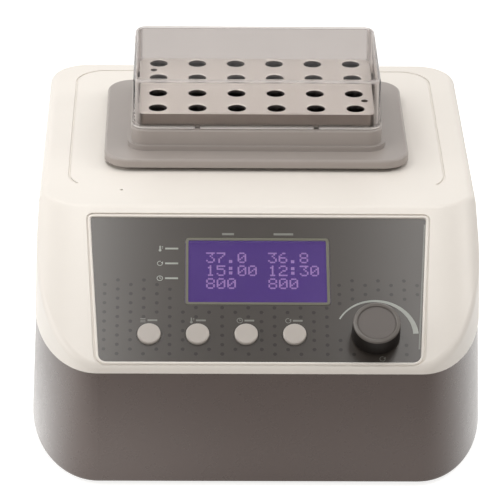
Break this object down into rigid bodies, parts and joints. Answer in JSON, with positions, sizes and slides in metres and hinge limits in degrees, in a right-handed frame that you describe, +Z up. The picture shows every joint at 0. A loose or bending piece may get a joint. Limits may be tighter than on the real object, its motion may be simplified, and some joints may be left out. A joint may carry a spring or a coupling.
{
  "type": "thermal mixer",
  "caption": "Bench thermal mixer: white housing with a sloped control panel and a heated tube block on an orbiting tray under a clear lift-off cover.",
  "frame": {"origin": "on the bench, under the middle of the housing", "axes": "+Z up, the front with its sloped panel towards -Y, +X to the right seen from the front"},
  "size_m": [0.2692, 0.3188, 0.185],
  "materials": {
    "white_shell": "fine satin moulding",
    "grey_base": "satin paint",
    "panel_film": "matte printed film",
    "display_bezel": "matte print",
    "display_lens": "clear gloss",
    "lcd": "backlit display",
    "button_grey": "satin",
    "knob_grey": "satin",
    "knob_face": "satin",
    "tray_grey": "satin",
    "block_metal": "bead-blasted anodised",
    "clear_cover": "clear, slightly smoky",
    "black_plastic": "fine texture",
    "rubber": "matte",
    "steel": "machined",
    "bearing_steel": "ground",
    "aluminium_plate": "machined",
    "cast_iron": "as cast",
    "bronze": "turned",
    "board_green": "solder mask",
    "silicone": "silicone",
    "foam": "closed-cell foam",
    "black_metal": "painted"
  },
  "bodies": {
    "housing": {"upper_housing": "white_shell", "lower_housing": "grey_base", "rubber_feet": "rubber", "housing_screws": "steel", "control_panel": "panel_film", "display_frame": "display_bezel", "display_lens": "display_lens", "lcd_module": "lcd", "control_board": "board_green", "board_spacers": "black_plastic", "button_switches": "black_plastic", "encoder_body": "steel", "power_inlet": "black_plastic", "inlet_screws": "steel", "switch_frame": "black_plastic", "power_supply": "black_metal", "supply_pillars": "steel", "deck_pillars": "steel", "drive_deck": "steel", "deck_screws": "steel", "bearing_housing": "aluminium_plate", "shaft_bearing": "bearing_steel", "idler_bearings": "bronze", "motor_stator": "black_metal"},
    "crank": {"drive_shaft": "bearing_steel", "motor_rotor": "cast_iron", "counterweight": "cast_iron", "crank_pin": "steel"},
    "idler_front_left": {"idler_crank_front_left": "steel"},
    "idler_front_right": {"idler_crank_front_right": "steel"},
    "idler_rear_left": {"idler_crank_rear_left": "steel"},
    "idler_rear_right": {"idler_crank_rear_right": "steel"},
    "platform": {"platform_plate": "aluminium_plate", "crank_bearing": "bearing_steel", "platform_bushes": "bronze", "platform_spacers": "steel", "platform_screws": "steel", "shaking_tray": "tray_grey", "insulation_pad": "foam", "heater_mat": "silicone", "heating_plate": "aluminium_plate", "temperature_sensor": "steel"},
    "block": {"tube_block": "block_metal"},
    "cover": {"tube_cover": "clear_cover"},
    "knob_push": {"encoder_plunger": "steel"},
    "knob_turn": {"encoder_shaft": "steel", "knob": "knob_grey", "knob_disc": "knob_face"},
    "menu": {"menu_button": "button_grey"},
    "temperature": {"temperature_button": "button_grey"},
    "time": {"time_button": "button_grey"},
    "speed": {"speed_button": "button_grey"},
    "rocker": {"power_rocker": "black_plastic"}
  },
  "joints": [
    {"name": "crank_spin", "type": "hinge", "parent": "housing", "child": "crank", "pos_m": [-0.0015, 0.048, 0.072], "axis": [0, 0, 1], "continuous": true},
    {"name": "platform_pivot", "type": "hinge", "parent": "crank", "child": "platform", "pos_m": [0, 0.048, 0.097], "axis": [0, 0, 1], "continuous": true},
    {"name": "idler_spin_front_left", "type": "hinge", "parent": "housing", "child": "idler_front_left", "pos_m": [-0.0615, 0.017, 0.067], "axis": [0, 0, 1], "continuous": true},
    {"name": "idler_spin_front_right", "type": "hinge", "parent": "housing", "child": "idler_front_right", "pos_m": [0.0585, 0.017, 0.067], "axis": [0, 0, 1], "continuous": true},
    {"name": "idler_spin_rear_left", "type": "hinge", "parent": "housing", "child": "idler_rear_left", "pos_m": [-0.0615, 0.079, 0.067], "axis": [0, 0, 1], "continuous": true},
    {"name": "idler_spin_rear_right", "type": "hinge", "parent": "housing", "child": "idler_rear_right", "pos_m": [0.0585, 0.079, 0.067], "axis": [0, 0, 1], "continuous": true},
    {"name": "block_lift", "type": "slide", "parent": "platform", "child": "block", "axis": [0, 0, 1], "range_m": [0, 0.045]},
    {"name": "cover_lift", "type": "slide", "parent": "block", "child": "cover", "axis": [0, 0, 1], "range_m": [0, 0.06]},
    {"name": "knob_press", "type": "slide", "parent": "housing", "child": "knob_push", "axis": [0, 0.5075, -0.8616], "range_m": [0, 0.0008], "stiffness_N_per_m": 2500, "springref_m": -0.001},
    {"name": "knob_rotate", "type": "hinge", "parent": "knob_push", "child": "knob_turn", "pos_m": [0.0668, -0.13834, 0.08803], "axis": [0, -0.5075, 0.8616], "continuous": true},
    {"name": "menu_press", "type": "slide", "parent": "housing", "child": "menu", "axis": [0, 0.5075, -0.8616], "range_m": [0, 0.001], "stiffness_N_per_m": 1200, "springref_m": -0.001},
    {"name": "temperature_press", "type": "slide", "parent": "housing", "child": "temperature", "axis": [0, 0.5075, -0.8616], "range_m": [0, 0.001], "stiffness_N_per_m": 1200, "springref_m": -0.001},
    {"name": "time_press", "type": "slide", "parent": "housing", "child": "time", "axis": [0, 0.5075, -0.8616], "range_m": [0, 0.001], "stiffness_N_per_m": 1200, "springref_m": -0.001},
    {"name": "speed_press", "type": "slide", "parent": "housing", "child": "speed", "axis": [0, 0.5075, -0.8616], "range_m": [0, 0.001], "stiffness_N_per_m": 1200, "springref_m": -0.001},
    {"name": "rocker_tilt", "type": "hinge", "parent": "housing", "child": "rocker", "pos_m": [-0.032, 0.1504, 0.034], "axis": [0, 0, 1], "range_deg": [-14, 0]}
  ],
  "couplings": [
    {"joint": "platform_pivot", "follows": "crank_spin", "ratio": -1},
    {"joint": "idler_spin_front_left", "follows": "crank_spin", "ratio": 1},
    {"joint": "idler_spin_front_right", "follows": "crank_spin", "ratio": 1},
    {"joint": "idler_spin_rear_left", "follows": "crank_spin", "ratio": 1},
    {"joint": "idler_spin_rear_right", "follows": "crank_spin", "ratio": 1}
  ]
}
